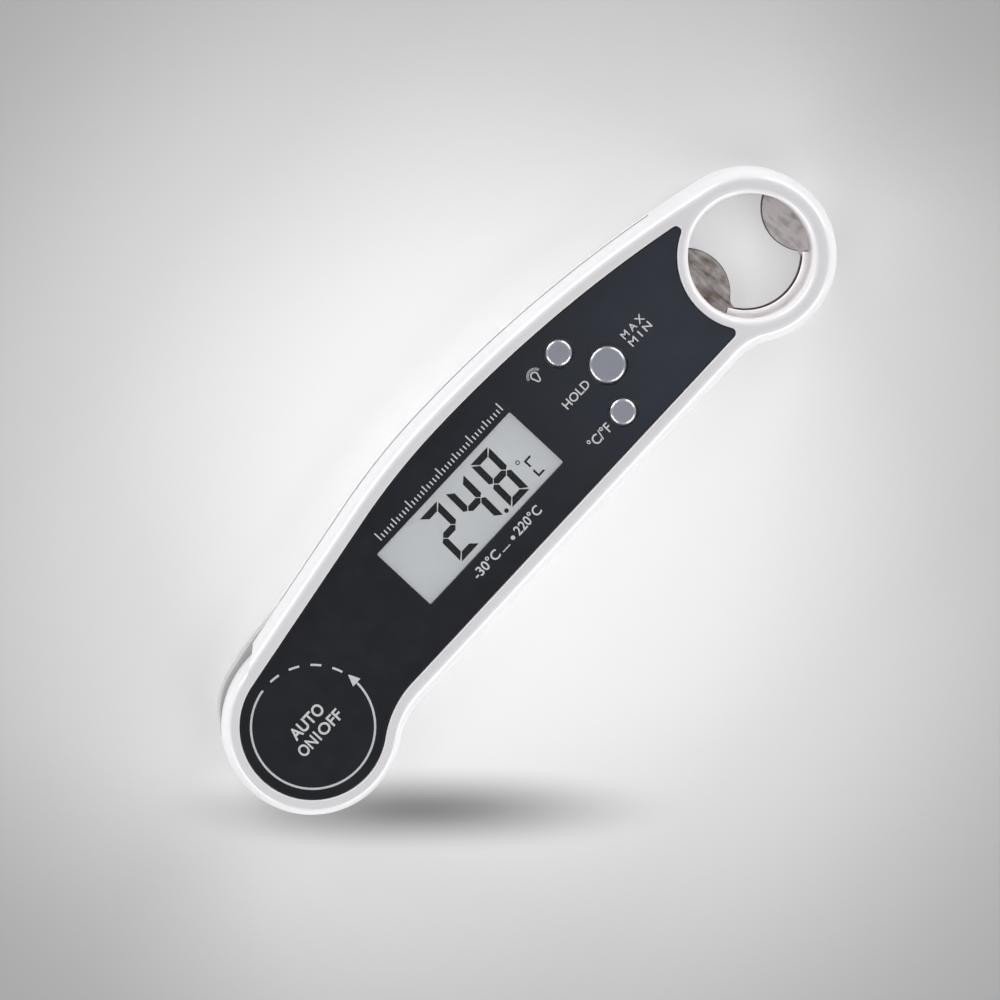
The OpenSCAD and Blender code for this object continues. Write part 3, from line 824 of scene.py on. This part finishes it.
# The arm is the case's white plastic painted a darker grey: painted shade for where it lies under the
# shell's edge.
def arm_plastic_painted_shade():
    return finish(
        "arm_plastic_painted_shade", (0.4, 0.398, 0.398), 0.42, second=(0.37, 0.368, 0.368), mottle=80, grain=3500,
        bump=0.04,
    )


def black_panel():
    return finish(
        "black_panel", (0.0062, 0.0068, 0.0105), 0.24, second=(0.008, 0.0086, 0.013), mottle=120,
        grain=4200, bump=0.02, spread=0.03,
    )


def clear_window():
    return finish(
        "clear_window", (0.97, 0.98, 0.98), 0.04, second=(0.95, 0.965, 0.965), mottle=40, grain=900,
        bump=0.01, spread=0.015, Transmission_Weight=1.0, IOR=1.48,
    )


# The cell's faint bluish emission is a painted glow: it brightens the face where the clear window holds back
# the lamps' light.
def lcd_face_painted_glow():
    return finish(
        "lcd_face_painted_glow", (0.6, 0.605, 0.625), 0.5, second=(0.55, 0.555, 0.575), mottle=90, grain=5000, bump=0.02,
        Emission_Color=(0.93, 0.96, 1.0, 1), Emission_Strength=0.225,
    )


def lcd_ink():
    return finish(
        "lcd_ink", (0.004, 0.0048, 0.008), 0.6, mottle=500, grain=6000, bump=0.02, Specular_IOR_Level=0.15,
    )


def print_ink():
    return finish("print_ink", (0.5, 0.51, 0.52), 0.55, second=(0.44, 0.45, 0.46), mottle=1500, grain=5000)


def button_grey():
    return finish(
        "button_grey", (0.19, 0.2, 0.245), 0.42, second=(0.178, 0.187, 0.23), mottle=300, grain=3000,
        bump=0.04, Coat_Weight=1.0, Coat_Roughness=0.27, Coat_IOR=2.2,
    )


def opener_steel():
    """Stained steel of the two lobes: drawn streaks, browner on the side by the panel."""
    mat = finish("opener_steel", (0.6, 0.56, 0.56), 0.48, metal=1.0, mottle=120, grain=2600, spread=0.04)
    tree = mat.node_tree
    shader = tree.nodes["Principled BSDF"]
    place = node(tree, "ShaderNodeTexCoord", (-6, 4))
    stretch = node(tree, "ShaderNodeMapping", (-5, 6), Scale=(1.0, 0.2, 1.0))
    streak = node(tree, "ShaderNodeTexNoise", (-4, 6), Scale=760, Detail=5.0, Roughness=0.62)
    streak.inputs["Distortion"].default_value = 0.5
    blot = node(tree, "ShaderNodeTexNoise", (-4, 5), Scale=260, Detail=3.0)
    both = node(tree, "ShaderNodeMath", (-3, 5))
    both.operation = "ADD"
    tint = node(tree, "ShaderNodeMix", (-1, 6))
    tint.data_type = "RGBA"
    tint.inputs[6].default_value = (0.72, 0.68, 0.69, 1)
    tint.inputs[7].default_value = (0.25, 0.205, 0.18, 1)
    depth = node(tree, "ShaderNodeMapRange", (-2, 6), From_Min=0.82, From_Max=1.25)
    apart = node(tree, "ShaderNodeSeparateXYZ", (-5, 7))
    side = node(tree, "ShaderNodeMapRange", (-4, 7), To_Min=0.07, To_Max=-0.13)
    side.inputs["From Min"].default_value = PIVOT_FLOOR.x + (RING.real - 10) * MM
    side.inputs["From Max"].default_value = PIVOT_FLOOR.x + (RING.real + 6) * MM
    total = node(tree, "ShaderNodeMath", (-3, 6))
    total.operation = "ADD"
    tree.links.new(place.outputs["Object"], stretch.inputs["Vector"])
    tree.links.new(place.outputs["Object"], blot.inputs["Vector"])
    tree.links.new(place.outputs["Object"], apart.inputs["Vector"])
    tree.links.new(stretch.outputs["Vector"], streak.inputs["Vector"])
    tree.links.new(apart.outputs["X"], side.inputs["Value"])
    tree.links.new(streak.outputs["Fac"], both.inputs[0])
    tree.links.new(blot.outputs["Fac"], both.inputs[1])
    tree.links.new(both.outputs["Value"], total.inputs[0])
    tree.links.new(side.outputs["Result"], total.inputs[1])
    tree.links.new(total.outputs["Value"], depth.inputs["Value"])
    tree.links.new(depth.outputs["Result"], tint.inputs[0])
    tree.links.new(tint.outputs[2], shader.inputs["Base Color"])
    return mat


def ledge_steel():
    return finish(
        "ledge_steel", (0.93, 0.9, 0.905), 0.42, metal=0.12, second=(0.84, 0.8, 0.81), mottle=150,
        grain=2600, spread=0.05, Coat_Weight=0.5, Coat_Roughness=0.2,
    )


# Near-black steel for the cut edges: partly the stamped edge's own colour, partly painted shade.
def cut_edge_painted_shade():
    return finish("cut_edge_painted_shade", (0.1, 0.092, 0.088), 0.45, metal=1.0, mottle=700, grain=3000, bump=0.2)


def probe_steel():
    return finish("probe_steel", (0.62, 0.63, 0.64), 0.22, metal=1.0, mottle=160, bump=0.015, spread=0.03)


def zinc():
    return finish("zinc", (0.55, 0.56, 0.58), 0.3, metal=1.0, mottle=700, grain=2500, bump=0.08)


def magnet_nickel():
    return finish("magnet_nickel", (0.6, 0.59, 0.57), 0.24, metal=1.0, mottle=350, grain=1800, bump=0.08)


def brass():
    return finish("brass", (0.62, 0.42, 0.18), 0.3, metal=1.0, second=(0.45, 0.3, 0.13), mottle=500)


def gold():
    return finish("gold", (0.75, 0.56, 0.25), 0.28, metal=1.0, mottle=600)


def cell_steel():
    return finish("cell_steel", (0.66, 0.66, 0.65), 0.26, metal=1.0, mottle=300, grain=2000, bump=0.05)


def black_rubber():
    return finish("black_rubber", (0.015, 0.015, 0.016), 0.7, mottle=700, grain=2200, bump=0.2)


def grey_rubber():
    return finish("grey_rubber", (0.11, 0.12, 0.135), 0.65, mottle=700, grain=2200, bump=0.2)


def dark_plastic():
    return finish("dark_plastic", (0.03, 0.031, 0.034), 0.5, mottle=400, grain=2600, bump=0.1)


def board_green():
    return finish(
        "board_green", (0.015, 0.11, 0.045), 0.32, second=(0.02, 0.15, 0.06), mottle=900, grain=4000,
    )


def light_guide():
    return finish(
        "light_guide", (0.8, 0.86, 0.9), 0.25, mottle=200, grain=1500, bump=0.1,
        Transmission_Weight=0.35, IOR=1.49,
    )


def ivory():
    return finish("ivory", (0.8, 0.76, 0.62), 0.4, mottle=400, grain=2600)


def reed_glass():
    return finish("reed_glass", (0.5, 0.72, 0.55), 0.08, mottle=300, Transmission_Weight=0.7, IOR=1.5)


def red_wire():
    return finish("red_wire", (0.45, 0.03, 0.02), 0.45, mottle=600, grain=2600)


def bead_brown():
    return finish("bead_brown", (0.09, 0.04, 0.02), 0.3, mottle=500)


def nylon():
    return finish("nylon", (0.72, 0.7, 0.62), 0.5, mottle=300, Subsurface_Weight=0.1, Subsurface_Scale=0.001)


CARRIED = {
    white_plastic: ["lcd_holder"],
    light_guide: ["backlight_panel"],
    ivory: ["backlight_led", "light_plunger", "hold_plunger", "unit_plunger"],
    black_rubber: ["zebra_strips", "hub_seals", "door_seal"],
    board_green: ["main_board"],
    dark_plastic: ["board_parts", "switch_bases", "battery_holder"],
    reed_glass: ["reed_switch"],
    bead_brown: ["sensor_bead"],
    red_wire: ["probe_lead", "body_lead"],
    magnet_nickel: ["switch_magnet", "back_magnets"],
    brass: ["pivot_bush"],
    zinc: ["pivot_screw", "spring_washer", "case_screws"],
    nylon: ["pivot_washers"],
    cell_steel: ["coin_cell"],
    gold: ["positive_contact", "negative_contact"],
    grey_rubber: ["case_gasket"],
}
SOFT_EDGED = {"back_magnets": 0.25, "case_screws": 0.12, "pivot_screw": 0.2}


def carried_nodes():
    """Finishes for the CAD nodes that are shown as they are."""
    for made, names in CARRIED.items():
        for name in names:
            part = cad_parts[name]
            part.data.materials.clear()
            part.data.materials.append(made())
            if name in SOFT_EDGED:
                edge = part.modifiers.new("soft_edge", "BEVEL")
                edge.width = SOFT_EDGED[name] * MM
                edge.segments = 3
                edge.limit_method = "ANGLE"
                edge.angle_limit = math.radians(50)


# ---------------------------------------------------------------- stage, lights and camera
AIM = Vector((57.15, 3.55, 18.0)) * MM + PIVOT_FLOOR
SIGHT = math.radians(47.2)
RIGHT = Vector((math.cos(SIGHT), -math.sin(SIGHT), 0))
UP = Vector((math.sin(SIGHT), math.cos(SIGHT), 0))
LEAN = Vector((0, 0.105, 0.994)).normalized()
VIEW_WIDTH = 0.1947
DISTANCE = 2.6
LAMP_REACH = 1.1
# Span of the floor's painted light: its colour fades darker away from the object as a painted fall-off.
PAINTED_LIGHT_FALLOFF = (0.012, 0.152)
# Place and size of the painted shadow beside the hub, a dark ellipse in the floor's colour.
PAINTED_SHADOW_PLACE = Vector((2.1, -28.4, 0)) * MM + PIVOT_FLOOR
PAINTED_SHADOW_SIZE = (0.0545, 0.0092, 1)
HIGH_POWER = {45: 0.6, 135: 0.75, 225: 0.75, 315: 0.9}
LOW_POWER = {45: 11.7, 135: 12.0, 225: 10.3, 315: 12.0}


def camera():
    """Nearly overhead, leaning towards the crowned edge."""
    data = bpy.data.cameras.new("camera")
    data.sensor_width = 36
    data.lens = 36 * DISTANCE / VIEW_WIDTH
    data.clip_start = 0.05
    data.clip_end = 20
    eye = new_object("camera", data)
    across = (RIGHT - RIGHT.dot(LEAN) * LEAN).normalized()
    turned = Matrix((across, LEAN.cross(across), LEAN)).transposed().to_4x4()
    eye.matrix_world = Matrix.Translation(AIM + LEAN * DISTANCE) @ turned
    bpy.context.scene.camera = eye


def aim(obj, place, away):
    """Puts a lamp at a place with its back turned towards the direction away."""
    obj.matrix_world = Matrix.Translation(place) @ away.to_track_quat("Z", "Y").to_matrix().to_4x4()


def light_only(obj, names):
    """Lets a lamp light the named objects only."""
    lit = bpy.data.collections.new("lit_by_" + obj.name)
    for name in names:
        lit.objects.link(bpy.data.objects[name])
    obj.light_linking.receiver_collection = lit


def lamp(name, way, rise, size, power):
    """Softbox aimed at the object: way is its bearing in the picture, rise its height in degrees."""
    data = bpy.data.lights.new(name, "AREA")
    data.shape = "RECTANGLE"
    data.size, data.size_y = size
    data.energy = power
    made = new_object(name, data)
    plan = RIGHT * turn(way).real + UP * turn(way).imag
    out = plan * turn(rise).real + Vector((0, 0, turn(rise).imag))
    aim(made, AIM + out * LAMP_REACH, out)


def stage():
    """Pale paper floor with painted light: darker away from the object as a painted fall-off of light, with
    a painted shadow beside the hub.
    """
    made = bmesh.new()
    bmesh.ops.create_grid(made, x_segments=8, y_segments=8, size=1.6)
    mesh = bpy.data.meshes.new("floor")
    made.to_mesh(mesh)
    made.free()
    floor = new_object("floor", mesh)
    floor.location = (AIM.x, AIM.y, CAD_BOX[0].z - 0.0001)
    mat = bpy.data.materials.new("paper_painted_shade")
    mat.use_nodes = True
    tree = mat.node_tree
    shader = tree.nodes["Principled BSDF"]
    shader.inputs["Roughness"].default_value = 0.95
    shader.inputs["Specular IOR Level"].default_value = 0.1
    place = node(tree, "ShaderNodeTexCoord", (-5, 0))
    # Painted light: the floor's colour is brightest round the object and darker away from it, in place of
    # the lamps' fall-off.
    painted_light_pool = faded(tree, place.outputs["Object"], PAINTED_LIGHT_FALLOFF, (0.955, 0.35), 0)
    # Painted shadow: a soft dark ellipse multiplied into the floor's colour beside the hub.
    painted_shadow_offset = PAINTED_SHADOW_PLACE - AIM
    painted_shadow_map = node(tree, "ShaderNodeMapping", (-4, 2), Location=(painted_shadow_offset.x, painted_shadow_offset.y, 0), Scale=PAINTED_SHADOW_SIZE)
    painted_shadow_map.vector_type = "TEXTURE"
    painted_shadow_map.inputs["Rotation"].default_value = (0, 0, -SIGHT)
    tree.links.new(place.outputs["Object"], painted_shadow_map.inputs["Vector"])
    painted_shadow_grey = faded(tree, painted_shadow_map.outputs["Vector"], (0, 1), (0.31, 1), 2)
    both = node(tree, "ShaderNodeMix", (-1, 1))
    both.data_type = "RGBA"
    both.blend_type = "MULTIPLY"
    both.inputs[0].default_value = 1
    tree.links.new(painted_light_pool.outputs[2], both.inputs[6])
    tree.links.new(painted_shadow_grey.outputs[2], both.inputs[7])
    tree.links.new(both.outputs[2], shader.inputs["Base Color"])
    mesh.materials.append(mat)


def faded(tree, coordinates, span, greys, row):
    """Grey that changes smoothly with the distance from the given coordinates' origin."""
    reach = node(tree, "ShaderNodeVectorMath", (-3, row))
    reach.operation = "LENGTH"
    fade = node(tree, "ShaderNodeMapRange", (-2, row), From_Min=span[0], From_Max=span[1])
    fade.interpolation_type = "SMOOTHSTEP"
    mix = node(tree, "ShaderNodeMix", (-1, row))
    mix.data_type = "RGBA"
    mix.inputs[6].default_value = (greys[0], greys[0], greys[0], 1)
    mix.inputs[7].default_value = (greys[1], greys[1], greys[1], 1)
    tree.links.new(coordinates, reach.inputs[0])
    tree.links.new(reach.outputs["Value"], fade.inputs["Value"])
    tree.links.new(fade.outputs["Result"], mix.inputs[0])
    return mix


def ring_pool():
    """Narrow beam that brings out the floor and the steel inside the ring."""
    data = bpy.data.lights.new("ring_pool", "SPOT")
    data.energy = 36
    data.spot_size = math.radians(1.35)
    data.spot_blend = 0.25
    data.shadow_soft_size = 0.004
    beam = new_object("ring_pool", data)
    spot = PIVOT_FLOOR + Vector((RING.real, RING.imag, PLATE_Z)) * MM
    back = AIM + LEAN * DISTANCE - spot
    aim(beam, spot + back / 2, back)
    light_only(beam, ["floor", "opener_ring"])


def panel_sheen():
    """Weak bluish lamp for the dark panel."""
    data = bpy.data.lights.new("panel_sheen", "AREA")
    data.size = 0.12
    data.energy = 0.04
    data.color = (0.62, 0.75, 1.0)
    glow = new_object("panel_sheen", data)
    glow.location = PIVOT_FLOOR + Vector((RING.real + 15, -60, 300)) * MM
    glow.visible_camera = False
    light_only(glow, ["dark_panel"])


def lights():
    """Even white surroundings, softboxes high and low on four sides, and two small lamps."""
    world = bpy.data.worlds.new("studio")
    world.use_nodes = True
    ground = world.node_tree.nodes["Background"]
    ground.inputs["Color"].default_value = (1, 1, 1, 1)
    ground.inputs["Strength"].default_value = 0.25
    bpy.context.scene.world = world
    for way in (45, 135, 225, 315):
        lamp(f"high_{way}", way, 60, (0.45, 0.35), HIGH_POWER[way])
        lamp(f"low_{way}", way, 11, (1.0, 0.24), LOW_POWER[way])
    ring_pool()
    panel_sheen()
    bpy.context.scene.view_settings.view_transform = "Standard"


camera()
stage()
front_shell()
rear_shell()
face_panel()
display()
reading()
printing()
button("light_key_cap", "light_button", "light_key", LIGHT, SMALL_R)
button("hold_key_cap", "hold_button", "hold_key", HOLD, LARGE_R)
button("unit_key_cap", "unit_button", "unit_key", UNIT, SMALL_R)
opener()
arm()
rod()
door()
carried_nodes()
lights()
